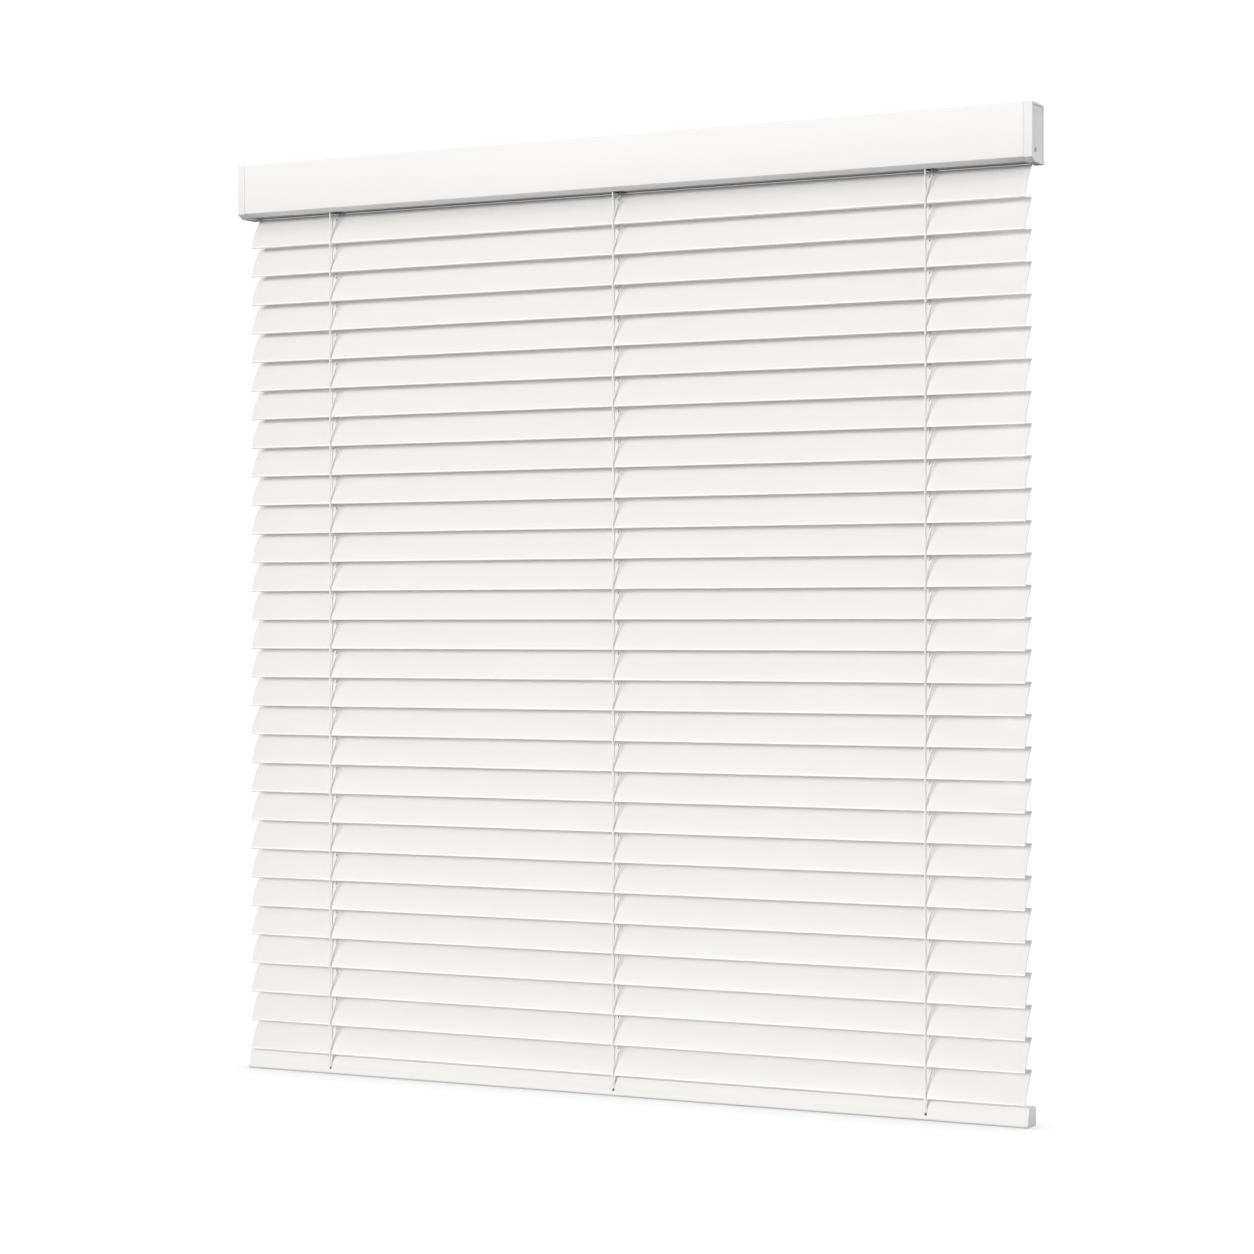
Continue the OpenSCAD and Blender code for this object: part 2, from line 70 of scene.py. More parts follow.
# places read from the frame
joints = {j["name"]: j for j in frame["joints"]}
slatNames = sorted(n for n in frame["nodes"] if n.startswith("slat_"))
pivotZ = {"slat_01": joints["tilt"]["pos_m"][2]}
for name in slatNames[1:]:
    pivotZ[name] = joints["tilt_" + name]["pos_m"][2]
firstZ = pivotZ[slatNames[0]]
lastZ = pivotZ[slatNames[-1]]
cordLow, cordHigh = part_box("front_cords")
cadCordR = (cordHigh.y - cordLow.y) / 2
ladderX = {"left": cordLow.x + cadCordR, "middle": 0.0, "right": cordHigh.x - cadCordR}
frontY = (cordLow.y + cordHigh.y) / 2
backLow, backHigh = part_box("back_cords")
backY = (backLow.y + backHigh.y) / 2
liftLow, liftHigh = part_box("lift_cords")
liftY = (liftLow.y + liftHigh.y) / 2
railLow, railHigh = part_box("bottom_rail")


# camera, floor and light: places in metres, angles in degrees
cameraSet = {"place": (2.0369, -3.8040, -0.6642), "level": 90, "turn": 28.006, "lens": 91.15,
             "sensor": 36, "farthest": 60}
lightSet = {
    "world": 0.48, "worldTint": (0.97, 0.985, 1.0), "wall": 1.05,
    "key": 2.15, "keyAngle": 22, "keyFrom": (-0.42, -1.0, 0.18), "keyTint": (1.0, 0.985, 0.965),
    "fill": 1.6, "fillAngle": 45, "fillFrom": (1.0, -0.14, 0.12),
    "back": 0.9, "backAngle": 60, "backFrom": (-0.35, 1.0, 0.2), "plain": (1, 1, 1),
    "floorSize": 40, "floorDrop": 0.4 * mm, "paper": (1.03, 1.03, 1.03), "bounce": 0.18,
    # the painted contact shadow on the floor: its reach, the occlusion where it starts, and its shadow colour
    "contactReach": 0.1, "contactFrom": 0.5, "contactShade": (0.79, 0.805, 0.82),
}


def addNode(tree, kind, **values):
    node = tree.nodes.new(kind)
    for key, value in values.items():
        if hasattr(node, key):
            setattr(node, key, value)
        else:
            node.inputs[key.replace("_", " ")].default_value = value
    return node


def addCamera():
    bpy.ops.object.camera_add(location=cameraSet["place"])
    cam = bpy.context.object
    cam.rotation_euler = (math.radians(cameraSet["level"]), 0, math.radians(cameraSet["turn"]))
    cam.data.lens = cameraSet["lens"]
    cam.data.sensor_width = cameraSet["sensor"]
    cam.data.clip_end = cameraSet["farthest"]
    bpy.context.scene.camera = cam


def addSun(name, strength, angle, source, tint):
    bpy.ops.object.light_add(type="SUN")
    sun = bpy.context.object
    sun.name = name
    sun.data.color = tint
    sun.data.energy = strength
    sun.data.angle = math.radians(angle)
    sun.rotation_mode = "QUATERNION"
    sun.rotation_quaternion = Vector(source).to_track_quat("Z", "Y")


def addLight():
    world = bpy.data.worlds.new("studio")
    bpy.context.scene.world = world
    world.use_nodes = True
    tree = world.node_tree
    lamp = tree.nodes["Background"]
    lamp.inputs["Color"].default_value = (*lightSet["worldTint"], 1)
    lamp.inputs["Strength"].default_value = lightSet["world"]
    wall = addNode(tree, "ShaderNodeBackground", Color=(*lightSet["plain"], 1), Strength=lightSet["wall"])
    path = addNode(tree, "ShaderNodeLightPath")
    mix = addNode(tree, "ShaderNodeMixShader")
    tree.links.new(path.outputs["Is Camera Ray"], mix.inputs["Fac"])
    tree.links.new(lamp.outputs[0], mix.inputs[1])
    tree.links.new(wall.outputs[0], mix.inputs[2])
    tree.links.new(mix.outputs[0], tree.nodes["World Output"].inputs["Surface"])
    addSun("keyLight", lightSet["key"], lightSet["keyAngle"], lightSet["keyFrom"], lightSet["keyTint"])
    addSun("fillLight", lightSet["fill"], lightSet["fillAngle"], lightSet["fillFrom"], lightSet["plain"])
    addSun("backLight", lightSet["back"], lightSet["backAngle"], lightSet["backFrom"], lightSet["plain"])
    bpy.context.scene.view_settings.view_transform = "Standard"


def addFloor():
    # the camera sees glowing white paper with a painted contact shadow, darker where ambient occlusion finds the
    # blind close by, and other rays a dim diffuse floor
    bpy.ops.mesh.primitive_plane_add(size=lightSet["floorSize"],
                                     location=(0, 0, cadLow.z - lightSet["floorDrop"]))
    floor = bpy.context.object
    floor.name = "floor"
    paper = bpy.data.materials.new("floorPaper")
    paper.use_nodes = True
    tree = paper.node_tree
    tree.nodes.clear()
    # painted contact shadow: ambient occlusion blends the glowing paper towards the shadow colour near the blind
    contact = addNode(tree, "ShaderNodeAmbientOcclusion", Distance=lightSet["contactReach"])
    share = addNode(tree, "ShaderNodeMapRange", From_Min=lightSet["contactFrom"])
    tone = addNode(tree, "ShaderNodeMix", data_type="RGBA")
    tone.inputs["A"].default_value = (*lightSet["contactShade"], 1)
    tone.inputs["B"].default_value = (*lightSet["paper"], 1)
    seen = addNode(tree, "ShaderNodeEmission")
    underside = addNode(tree, "ShaderNodeNewGeometry")  # a camera below the floor looks through it
    clear = addNode(tree, "ShaderNodeBsdfTransparent")
    view = addNode(tree, "ShaderNodeMixShader")
    bounce = addNode(tree, "ShaderNodeBsdfDiffuse", Color=(*[lightSet["bounce"]] * 3, 1))
    path = addNode(tree, "ShaderNodeLightPath")
    mix = addNode(tree, "ShaderNodeMixShader")
    leave = addNode(tree, "ShaderNodeOutputMaterial")
    tree.links.new(contact.outputs["AO"], share.inputs["Value"])
    tree.links.new(share.outputs[0], tone.inputs["Factor"])
    tree.links.new(tone.outputs["Result"], seen.inputs["Color"])
    tree.links.new(path.outputs["Is Camera Ray"], mix.inputs["Fac"])
    tree.links.new(bounce.outputs[0], mix.inputs[1])
    tree.links.new(underside.outputs["Backfacing"], view.inputs["Fac"])
    tree.links.new(seen.outputs[0], view.inputs[1])
    tree.links.new(clear.outputs[0], view.inputs[2])
    tree.links.new(view.outputs[0], mix.inputs[2])
    tree.links.new(mix.outputs[0], leave.inputs["Surface"])
    floor.data.materials.append(paper)


addCamera()
addLight()
addFloor()
print("camera, light and floor made")


# noises of the shader groups
skinSet = {"streak": (420, (0.012, 1, 1), 3), "peel": (900, (1, 1, 1), 2),  # scale, stretch, detail
           "cloud": (6, (0.35, 1, 1), 4), "mottle": (14, (1, 1, 1), 4), "rollLines": (700, (0.02, 1, 1), 4),
           "yarn": (2600, (1, 1, 0.35), 3), "yarnShade": (160, (1, 1, 0.4), 3),
           "roughness": 0.55, "low": 0.3, "high": 0.7}  # most noise lies between low and high


def newGroup(name, inputs, outputs):
    tree = bpy.data.node_groups.new(name, "ShaderNodeTree")
    for label, kind, value in inputs:
        socket = tree.interface.new_socket(label, in_out="INPUT", socket_type=kind)
        if value is not None:
            socket.default_value = value
    for label, kind in outputs:
        tree.interface.new_socket(label, in_out="OUTPUT", socket_type=kind)
    return tree, tree.nodes.new("NodeGroupInput"), tree.nodes.new("NodeGroupOutput")


def skinNoise(tree, name, source):
    scale, stretch, detail = skinSet[name]
    place = addNode(tree, "ShaderNodeMapping", Scale=stretch)
    noise = addNode(tree, "ShaderNodeTexNoise", Scale=scale, Detail=detail, Roughness=skinSet["roughness"])
    tree.links.new(source, place.inputs["Vector"])
    tree.links.new(place.outputs[0], noise.inputs["Vector"])
    return noise


def makeExtrusionGroup():
    # streaks that run along an extruded profile, with a fine orange peel over them
    tree, enter, leave = newGroup(
        "extrusionSkin",
        [("Streaks", "NodeSocketFloat", 0.5), ("Peel", "NodeSocketFloat", 0.5)],
        [("Height", "NodeSocketFloat"), ("Mottle", "NodeSocketFloat")])
    where = addNode(tree, "ShaderNodeTexCoord")
    streak = skinNoise(tree, "streak", where.outputs["Object"])
    peel = skinNoise(tree, "peel", where.outputs["Object"])
    cloud = skinNoise(tree, "cloud", where.outputs["Object"])
    first = addNode(tree, "ShaderNodeMath", operation="MULTIPLY")
    second = addNode(tree, "ShaderNodeMath", operation="MULTIPLY")
    both = addNode(tree, "ShaderNodeMath", operation="ADD")
    tree.links.new(streak.outputs["Fac"], first.inputs[0])
    tree.links.new(enter.outputs["Streaks"], first.inputs[1])
    tree.links.new(peel.outputs["Fac"], second.inputs[0])
    tree.links.new(enter.outputs["Peel"], second.inputs[1])
    tree.links.new(first.outputs[0], both.inputs[0])
    tree.links.new(second.outputs[0], both.inputs[1])
    tree.links.new(both.outputs[0], leave.inputs["Height"])
    tree.links.new(cloud.outputs["Fac"], leave.inputs["Mottle"])
    return tree


def makeMouldedGroup():
    # spark-eroded texture of a moulded part: small rounded pits over a soft mottle
    tree, enter, leave = newGroup(
        "mouldedSkin", [("Pits", "NodeSocketFloat", 900.0)],
        [("Height", "NodeSocketFloat"), ("Mottle", "NodeSocketFloat")])
    where = addNode(tree, "ShaderNodeTexCoord")
    pits = addNode(tree, "ShaderNodeTexVoronoi", feature="SMOOTH_F1")
    tree.links.new(enter.outputs["Pits"], pits.inputs["Scale"])
    tree.links.new(where.outputs["Object"], pits.inputs["Vector"])
    cloud = skinNoise(tree, "mottle", where.outputs["Object"])
    tree.links.new(pits.outputs["Distance"], leave.inputs["Height"])
    tree.links.new(cloud.outputs["Fac"], leave.inputs["Mottle"])
    return tree


def makeRolledGroup():
    # fine rolling lines along X, with the spangle of a zinc coat
    tree, enter, leave = newGroup(
        "rolledSkin", [("Spangle", "NodeSocketFloat", 55.0)],
        [("Height", "NodeSocketFloat"), ("Spangles", "NodeSocketFloat")])
    where = addNode(tree, "ShaderNodeTexCoord")
    lines = skinNoise(tree, "rollLines", where.outputs["Object"])
    spangle = addNode(tree, "ShaderNodeTexVoronoi")
    tree.links.new(enter.outputs["Spangle"], spangle.inputs["Scale"])
    tree.links.new(where.outputs["Object"], spangle.inputs["Vector"])
    grey = addNode(tree, "ShaderNodeRGBToBW")
    tree.links.new(spangle.outputs["Color"], grey.inputs["Color"])
    tree.links.new(lines.outputs["Fac"], leave.inputs["Height"])
    tree.links.new(grey.outputs[0], leave.inputs["Spangles"])
    return tree


def makeYarnGroup():
    # fine yarn of a cord, finer across than along
    tree, enter, leave = newGroup(
        "yarnSkin", [], [("Height", "NodeSocketFloat"), ("Shade", "NodeSocketFloat")])
    where = addNode(tree, "ShaderNodeTexCoord")
    yarn = skinNoise(tree, "yarn", where.outputs["Object"])
    shade = skinNoise(tree, "yarnShade", where.outputs["Object"])
    tree.links.new(yarn.outputs["Fac"], leave.inputs["Height"])
    tree.links.new(shade.outputs["Fac"], leave.inputs["Shade"])
    return tree


groups = {"extruded": makeExtrusionGroup(), "moulded": makeMouldedGroup(),
          "rolled": makeRolledGroup(), "yarn": makeYarnGroup()}


def spread(tree, value, low, high):
    # the usual span of a noise value, mapped to a range
    span = addNode(tree, "ShaderNodeMapRange", From_Min=skinSet["low"], From_Max=skinSet["high"],
                   To_Min=low, To_Max=high)
    tree.links.new(value, span.inputs["Value"])
    return span.outputs[0]


def makeFinish(name, group, light, dark, rough, bump, deep, skinValues, shaderValues):
    finish = bpy.data.materials.new(name)
    finish.use_nodes = True
    tree = finish.node_tree
    shader = tree.nodes["Principled BSDF"]
    skin = addNode(tree, "ShaderNodeGroup", node_tree=groups[group])
    for key, value in skinValues.items():
        skin.inputs[key].default_value = value
    height, tone = skin.outputs[:2]
    tint = addNode(tree, "ShaderNodeMix", data_type="RGBA")
    tint.inputs["A"].default_value = (*dark, 1)
    tint.inputs["B"].default_value = (*light, 1)
    tree.links.new(spread(tree, tone, 0, 1), tint.inputs["Factor"])
    tree.links.new(tint.outputs["Result"], shader.inputs["Base Color"])
    tree.links.new(spread(tree, tone, rough[1], rough[0]), shader.inputs["Roughness"])
    relief = addNode(tree, "ShaderNodeBump", Strength=bump, Distance=deep)
    tree.links.new(height, relief.inputs["Height"])
    tree.links.new(relief.outputs[0], shader.inputs["Normal"])
    for key, value in shaderValues.items():
        shader.inputs[key].default_value = value
    return finish


finishSet = {  # the rough pair runs from the light tone to the dark one
    "slat_vinyl": dict(name="slatVinyl", group="extruded", light=(0.862, 0.847, 0.834),
                       dark=(0.846, 0.83, 0.815), rough=(0.36, 0.46), bump=0.12, deep=0.00012,
                       skinValues={"Streaks": 0.6, "Peel": 0.5},
                       shaderValues={"IOR": 1.5, "Coat Weight": 0.06}),
    "fascia_vinyl": dict(name="fasciaVinyl", group="extruded", light=(0.918, 0.91, 0.9),
                         dark=(0.903, 0.894, 0.884), rough=(0.54, 0.64), bump=0.12, deep=0.00012,
                         skinValues={"Streaks": 0.5, "Peel": 0.6},
                         shaderValues={"Specular IOR Level": 0.22}),
    "rail_vinyl": dict(name="railVinyl", group="extruded", light=(0.868, 0.853, 0.84),
                       dark=(0.852, 0.836, 0.821), rough=(0.48, 0.58), bump=0.12, deep=0.00012,
                       skinValues={"Streaks": 0.6, "Peel": 0.5},
                       shaderValues={"Specular IOR Level": 0.3}),
    "cap_plastic": dict(name="capPlastic", group="moulded", light=(0.88, 0.88, 0.875),
                        dark=(0.86, 0.86, 0.853), rough=(0.55, 0.65), bump=0.10, deep=0.0001,
                        skinValues={"Pits": 1400.0}, shaderValues={"Specular IOR Level": 0.22}),
    "painted_steel": dict(name="greyEnamel", group="rolled", light=(0.47, 0.49, 0.51),
                          dark=(0.45, 0.468, 0.49), rough=(0.38, 0.48), bump=0.10, deep=0.0001,
                          skinValues={"Spangle": 260.0}, shaderValues={"Metallic": 0.25}),
    "zinc_steel": dict(name="zincSteel", group="rolled", light=(0.72, 0.73, 0.74),
                       dark=(0.56, 0.57, 0.585), rough=(0.26, 0.4), bump=0.15, deep=0.0001,
                       skinValues={"Spangle": 160.0}, shaderValues={"Metallic": 1.0}),
    "spring_steel": dict(name="springSteel", group="rolled", light=(0.38, 0.4, 0.45),
                         dark=(0.27, 0.29, 0.34), rough=(0.22, 0.34), bump=0.15, deep=0.0001,
                         skinValues={"Spangle": 90.0}, shaderValues={"Metallic": 1.0}),
    "grey_nylon": dict(name="greyNylon", group="moulded", light=(0.2, 0.215, 0.235),
                       dark=(0.155, 0.167, 0.185), rough=(0.42, 0.56), bump=0.2, deep=0.00015,
                       skinValues={"Pits": 900.0}, shaderValues={}),
    "drum_acetal": dict(name="drumAcetal", group="moulded", light=(0.78, 0.775, 0.75),
                        dark=(0.72, 0.715, 0.69), rough=(0.3, 0.42), bump=0.1, deep=0.0001,
                        skinValues={"Pits": 1200.0}, shaderValues={"Subsurface Weight": 0.05}),
    "braided_cord": dict(name="cordYarn", group="yarn", light=(0.96, 0.958, 0.95),
                         dark=(0.88, 0.875, 0.865), rough=(0.7, 0.85), bump=0.5, deep=0.0002,
                         skinValues={}, shaderValues={"Sheen Weight": 0.25}),
}
finishes = {slotName: makeFinish(**row) for slotName, row in finishSet.items()}


def dress(piece, slotName):
    piece.data.materials.clear()
    piece.data.materials.append(finishes[slotName])


print("materials made")


def clearSelection():
    if bpy.context.mode != "OBJECT":
        bpy.ops.object.mode_set(mode="OBJECT")
    bpy.ops.object.select_all(action="DESELECT")


def pick(piece):
    clearSelection()
    piece.select_set(True)
    bpy.context.view_layer.objects.active = piece


def selectParts(piece, kind, test):
    # selects vertices by a test on their place, or edges by a test on their two ends
    bpy.ops.object.mode_set(mode="EDIT")
    bpy.ops.mesh.select_mode(type=kind)
    bpy.ops.mesh.select_all(action="DESELECT")
    bpy.ops.object.mode_set(mode="OBJECT")
    verts = piece.data.vertices
    if kind == "VERT":
        for vert in verts:
            vert.select = test(vert.co)
    else:
        for edge in piece.data.edges:
            edge.select = test(*[verts[k].co for k in edge.vertices])
    bpy.ops.object.mode_set(mode="EDIT")


def applyModifier(piece, kind, **values):
    mod = piece.modifiers.new(kind.lower(), kind)
    for key, value in values.items():
        setattr(mod, key, value)
    bpy.ops.object.modifier_apply(modifier=mod.name)


def finishPiece(piece, body, slotName, angle):
    pick(piece)
    bpy.ops.object.transform_apply(location=True, rotation=True, scale=True)
    bpy.ops.object.shade_smooth_by_angle(angle=math.radians(angle))
    dress(piece, slotName)
    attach(piece, body)


slatSet = {"width": 50 * mm, "thick": 2.8 * mm, "crown": 3 * mm, "closed": 61, "steps": 28,
           "slotLong": 10.6 * mm, "slotWide": 3.2 * mm, "slotBack": 17 * mm, "cutZone": 9 * mm,
           "edgeRound": 1.25 * mm, "edgeSteps": 4, "endRound": 0.4 * mm, "endSteps": 2, "smooth": 25,
           "cutterDeep": 12 * mm, "cutterUp": 3 * mm, "cutterSides": 24,
           # the painted rim highlight: where it starts across the slat, how far it fades in, and its whiter colour
           "rim": 22.8 * mm, "rimFade": 1.3 * mm, "rimTint": (0.985, 0.98, 0.972),
           "longEdge": 5 * mm, "rimBand": 1.2 * mm, "rimDeep": 2.5 * mm,  # tests that find the rims
           "near": 0.1 * mm, "same": 0.05 * mm}
slatLow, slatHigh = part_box("slat_01")
slatLong = slatHigh.x - slatLow.x
innerR = (slatSet["width"] ** 2 / 4 + slatSet["crown"] ** 2) / (2 * slatSet["crown"])
middleR = innerR + slatSet["thick"] / 2
arcZ = slatSet["crown"] - innerR
halfArc = math.asin(slatSet["width"] / 2 / middleR)


def makeSlat():
    # an edge is spun to the slat's arc, thickened, rounded along its rims and cut for the cords
    startY = -middleR * math.sin(halfArc)
    startZ = arcZ + middleR * math.cos(halfArc)
    clearSelection()
    bpy.ops.mesh.primitive_plane_add(size=slatLong, location=(0, startY + slatLong / 2, startZ))
    slat = bpy.context.object
    slat.name = "slatMaster"
    bpy.ops.object.transform_apply(location=True)
    selectParts(slat, "VERT", lambda p: p.y > startY + slatLong / 2)
    bpy.ops.mesh.delete(type="VERT")
    bpy.ops.mesh.select_all(action="SELECT")
    bpy.ops.mesh.spin(steps=slatSet["steps"], angle=2 * halfArc, center=(0, 0, arcZ), axis=(1, 0, 0))
    for x in ladderX.values():
        for side in (-1, 1):
            bpy.ops.mesh.select_all(action="SELECT")
            bpy.ops.mesh.bisect(plane_co=(x + side * slatSet["cutZone"], 0, 0), plane_no=(1, 0, 0))
    bpy.ops.mesh.select_all(action="SELECT")
    bpy.ops.mesh.normals_make_consistent(inside=False)
    bpy.ops.object.mode_set(mode="OBJECT")
    applyModifier(slat, "SOLIDIFY", thickness=slatSet["thick"], offset=0, use_even_offset=True)
    rimY, rimZ = -startY, startZ
    selectParts(slat, "EDGE", lambda a, b: abs(a.x - b.x) > slatSet["longEdge"]
                and min(abs(a.y), abs(b.y)) > rimY - slatSet["rimBand"]
                and abs(a.z - rimZ) < slatSet["rimDeep"])
    bpy.ops.mesh.bevel(offset=slatSet["edgeRound"], segments=slatSet["edgeSteps"], affect="EDGES")
    bpy.ops.object.mode_set(mode="OBJECT")
    near, same = slatSet["near"], slatSet["same"]
    selectParts(slat, "EDGE", lambda a, b: min(abs(a.x), abs(b.x)) > slatLong / 2 - near
                and abs(a.x - b.x) < near and abs(a.y - b.y) + abs(a.z - b.z) > same
                and abs(math.hypot(a.y, a.z - arcZ) - math.hypot(b.y, b.z - arcZ)) < same)
    bpy.ops.mesh.bevel(offset=slatSet["endRound"], segments=slatSet["endSteps"], affect="EDGES")
    bpy.ops.object.mode_set(mode="OBJECT")
    for x in ladderX.values():
        bpy.ops.mesh.primitive_cylinder_add(
            vertices=slatSet["cutterSides"], radius=slatSet["slotWide"] / 2, depth=slatSet["cutterDeep"],
            location=(x, slatSet["slotBack"], slatSet["cutterUp"]))
        cutter = bpy.context.object
        bpy.ops.object.transform_apply(location=True)
        reach = (slatSet["slotLong"] - slatSet["slotWide"]) / 2
        for side in (-1, 1):
            selectParts(cutter, "VERT", lambda p: side * (p.y - slatSet["slotBack"]) > same)
            bpy.ops.transform.translate(value=(0, side * reach, 0))
            bpy.ops.object.mode_set(mode="OBJECT")
        pick(slat)
        applyModifier(slat, "BOOLEAN", operation="DIFFERENCE", object=cutter, solver="EXACT")
        bpy.data.objects.remove(cutter)
    # painted highlight mask: 1 on the rims and cut ends where the lip highlight is painted, fading to 0 on the
    # faces
    rim = slat.data.attributes.new("rim", "FLOAT", "POINT")
    for k, vert in enumerate(slat.data.vertices):
        share = min(1, max(0, (abs(vert.co.y) - slatSet["rim"]) / slatSet["rimFade"]))
        atEnd = abs(vert.co.x) > slatLong / 2 - slatSet["endRound"] / 2
        rim.data[k].value = 1 if atEnd else share
    return slat


def paintRimHighlights():
    # a painted highlight: the rims and the cut ends of a slat are painted a little whiter than its faces, standing
    # in for the light their rounded edges catch
    tree = finishes["slat_vinyl"].node_tree
    shader = tree.nodes["Principled BSDF"]
    body = shader.inputs["Base Color"].links[0].from_socket
    mark = addNode(tree, "ShaderNodeAttribute", attribute_name="rim")
    tint = addNode(tree, "ShaderNodeMix", data_type="RGBA")
    tint.inputs["B"].default_value = (*slatSet["rimTint"], 1)
    tree.links.new(mark.outputs["Fac"], tint.inputs["Factor"])
    tree.links.new(body, tint.inputs["A"])
    tree.links.new(tint.outputs["Result"], shader.inputs["Base Color"])


def placeSlats(master):
    for name in slatNames:
        slat = master.copy()
        slat.data = master.data.copy()
        slat.name = name + ".vinyl"
        bpy.context.scene.collection.objects.link(slat)
        slat.location = (0, 0, pivotZ[name])
        slat.rotation_euler = (math.radians(slatSet["closed"]), 0, 0)
        finishPiece(slat, name, "slat_vinyl", slatSet["smooth"])
        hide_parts(name)
    bpy.data.objects.remove(master)


paintRimHighlights()
placeSlats(makeSlat())
print("slats made")


softSet = {"fascia": 0.7 * mm, "cap": 0.6 * mm, "rail": 0.5 * mm, "railCap": 0.6 * mm, "button": 0.4 * mm,
           "steps": 3, "merge": 0.004 * mm, "flat": 0.6, "sharp": 28, "smooth": 32}  # angles in degrees


def softened(node, body, slotName, width):
    # a copy of a CAD node with its loose triangles merged and its sharp edges rounded
    source = frame["nodes"][node]
    piece = source.copy()
    piece.data = source.data.copy()
    piece.name = node + ".soft"
    piece.parent = None
    piece.modifiers.clear()
    bpy.context.scene.collection.objects.link(piece)
    pick(piece)
    bpy.ops.object.mode_set(mode="EDIT")
    bpy.ops.mesh.select_all(action="SELECT")
    bpy.ops.mesh.remove_doubles(threshold=softSet["merge"])
    bpy.ops.mesh.dissolve_limited(angle_limit=math.radians(softSet["flat"]))
    bpy.ops.object.mode_set(mode="OBJECT")
    applyModifier(piece, "BEVEL", width=width, segments=softSet["steps"], limit_method="ANGLE",
                  angle_limit=math.radians(softSet["sharp"]), harden_normals=False, miter_outer="MITER_ARC",
                  use_clamp_overlap=True, loop_slide=True)
    finishPiece(piece, body, slotName, softSet["smooth"])
    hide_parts(node)


softened("fascia", "headrail", "fascia_vinyl", softSet["fascia"])
softened("bottom_rail", "bottom_rail", "rail_vinyl", softSet["rail"])
for side in ("left", "right"):
    softened("end_cap_" + side, "headrail", "cap_plastic", softSet["cap"])
    softened("rail_cap_" + side, "bottom_rail", "cap_plastic", softSet["railCap"])
softened("rail_buttons", "bottom_rail", "cap_plastic", softSet["button"])
print("rails and caps made")


cordSet = {"radius": 0.82 * mm, "lobe": 0.11, "lobes": 3, "sides": 12, "ring": 0.8 * mm, "lay": 11 * mm,
           "stringR": 0.68 * mm, "stringSides": 8, "reach": 29.7 * mm, "grip": 0.4 * mm,
           "cornerSteps": 5, "cornerShare": 0.45, "merge": 0.002 * mm, "smooth": 60}


def makeProfile(radius, lobe, sides):
    curve = bpy.data.curves.new("cordProfile", "CURVE")
    curve.dimensions = "2D"
    spline = curve.splines.new("POLY")
    spline.points.add(sides - 1)
    for k in range(sides):
        turn = 2 * math.pi * k / sides
        reach = radius * (1 + lobe * math.cos(cordSet["lobes"] * turn))
        spline.points[k].co = (reach * math.cos(turn), reach * math.sin(turn), 0, 1)
    spline.use_cyclic_u = True
    profile = bpy.data.objects.new("cordProfile", curve)
    bpy.context.scene.collection.objects.link(profile)
    return profile


def rounded(points, radius):
    # the corners of a route turned to short arcs
    path = [Vector(points[0])]
    for before, corner, after in zip(points, points[1:], points[2:]):
        corner = Vector(corner)
        toBefore, toAfter = Vector(before) - corner, Vector(after) - corner
        share, steps = cordSet["cornerShare"], cordSet["cornerSteps"]
        cut = min(radius, toBefore.length * share, toAfter.length * share)
        first = corner + toBefore.normalized() * cut
        last = corner + toAfter.normalized() * cut
        for k in range(steps + 1):
            t = k / steps
            path.append(first * (1 - t) ** 2 + corner * 2 * t * (1 - t) + last * t * t)
    path.append(Vector(points[-1]))
    return path


def resampled(path, gap):
    # rings close enough to show the lay of the cord
    result = [path[0]]
    for a, b in zip(path, path[1:]):
        count = max(1, round((b - a).length / gap))
        result += [a.lerp(b, (k + 1) / count) for k in range(count)]
    return result


def makeCord(name, path, profile, lay, join=None):
    # a twisted cord along a path; a join adds a plain first stretch
    curve = bpy.data.curves.new(name, "CURVE")
    curve.dimensions = "3D"
    curve.twist_mode = "MINIMUM"
    curve.bevel_mode = "OBJECT"
    curve.bevel_object = profile
    curve.use_fill_caps = True
    points = ([join] if join is not None else []) + path
    spline = curve.splines.new("POLY")
    spline.points.add(len(points) - 1)
    run = 0
    for k, point in enumerate(points):
        if k > (1 if join is not None else 0):
            run += (point - points[k - 1]).length
        spline.points[k].co = (*point, 1)
        spline.points[k].tilt = 2 * math.pi * run / lay if lay else 0
    piece = bpy.data.objects.new(name, curve)
    bpy.context.scene.collection.objects.link(piece)
    pick(piece)
    bpy.ops.object.convert(target="MESH")
    piece = bpy.context.object
    bpy.ops.object.mode_set(mode="EDIT")
    bpy.ops.mesh.select_all(action="SELECT")
    bpy.ops.mesh.remove_doubles(threshold=cordSet["merge"])
    bpy.ops.mesh.normals_make_consistent(inside=False)
    bpy.ops.object.mode_set(mode="OBJECT")
    bpy.ops.object.shade_smooth_by_angle(angle=math.radians(cordSet["smooth"]))
    dress(piece, "braided_cord")
    return piece


def holdZ(u, v, z):
    # the height of a point of a slat's section, once the slat is closed
    turn = math.radians(slatSet["closed"])
    return z + u * math.sin(turn) + v * math.cos(turn)


holdV = slatSet["thick"] / 2
slotV = math.sqrt(middleR ** 2 - slatSet["slotBack"] ** 2) + arcZ
frontTop, frontEnd = (holdZ(-cordSet["reach"], holdV, z) for z in (firstZ, lastZ))
backTop, backEnd = (holdZ(cordSet["reach"], holdV, z) for z in (firstZ, lastZ))
liftTop, liftEnd = (holdZ(slatSet["slotBack"], slotV, z) for z in (firstZ, lastZ))

thickProfile = makeProfile(cordSet["radius"], cordSet["lobe"], cordSet["sides"])
thinProfile = makeProfile(cordSet["stringR"], 0, cordSet["stringSides"])


